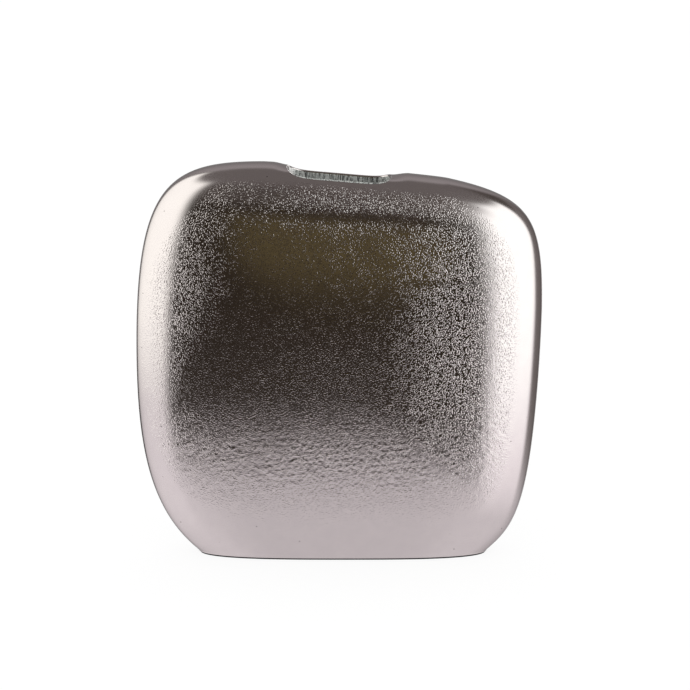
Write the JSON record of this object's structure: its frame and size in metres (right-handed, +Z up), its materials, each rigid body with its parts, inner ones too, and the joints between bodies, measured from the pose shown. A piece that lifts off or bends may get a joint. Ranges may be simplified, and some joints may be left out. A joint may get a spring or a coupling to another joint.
{
  "type": "vase",
  "caption": "Broad flat pillow-shaped vase of cast aluminium with a slot mouth in a dip between two unequal lobes, and a small flat foot.",
  "frame": {"origin": "on the table, under the middle of the width and the depth", "axes": "+X across the width to the right as seen from the front, +Y through the depth to the rear, +Z up"},
  "size_m": [0.3, 0.09, 0.294],
  "materials": {
    "cast_metal": "sand-cast grain, nickel toned, linished smooth along the crown and sides",
    "weld_metal": "weld metal ground flush",
    "plate_metal": "mill-finish plate",
    "pad": "black felt"
  },
  "bodies": {
    "root": {"front_shell": "cast_metal", "rear_shell": "cast_metal", "left_seam_weld": "weld_metal", "right_seam_weld": "weld_metal", "base_plate": "plate_metal", "base_weld": "weld_metal", "base_pad": "pad"}
  },
  "joints": []
}
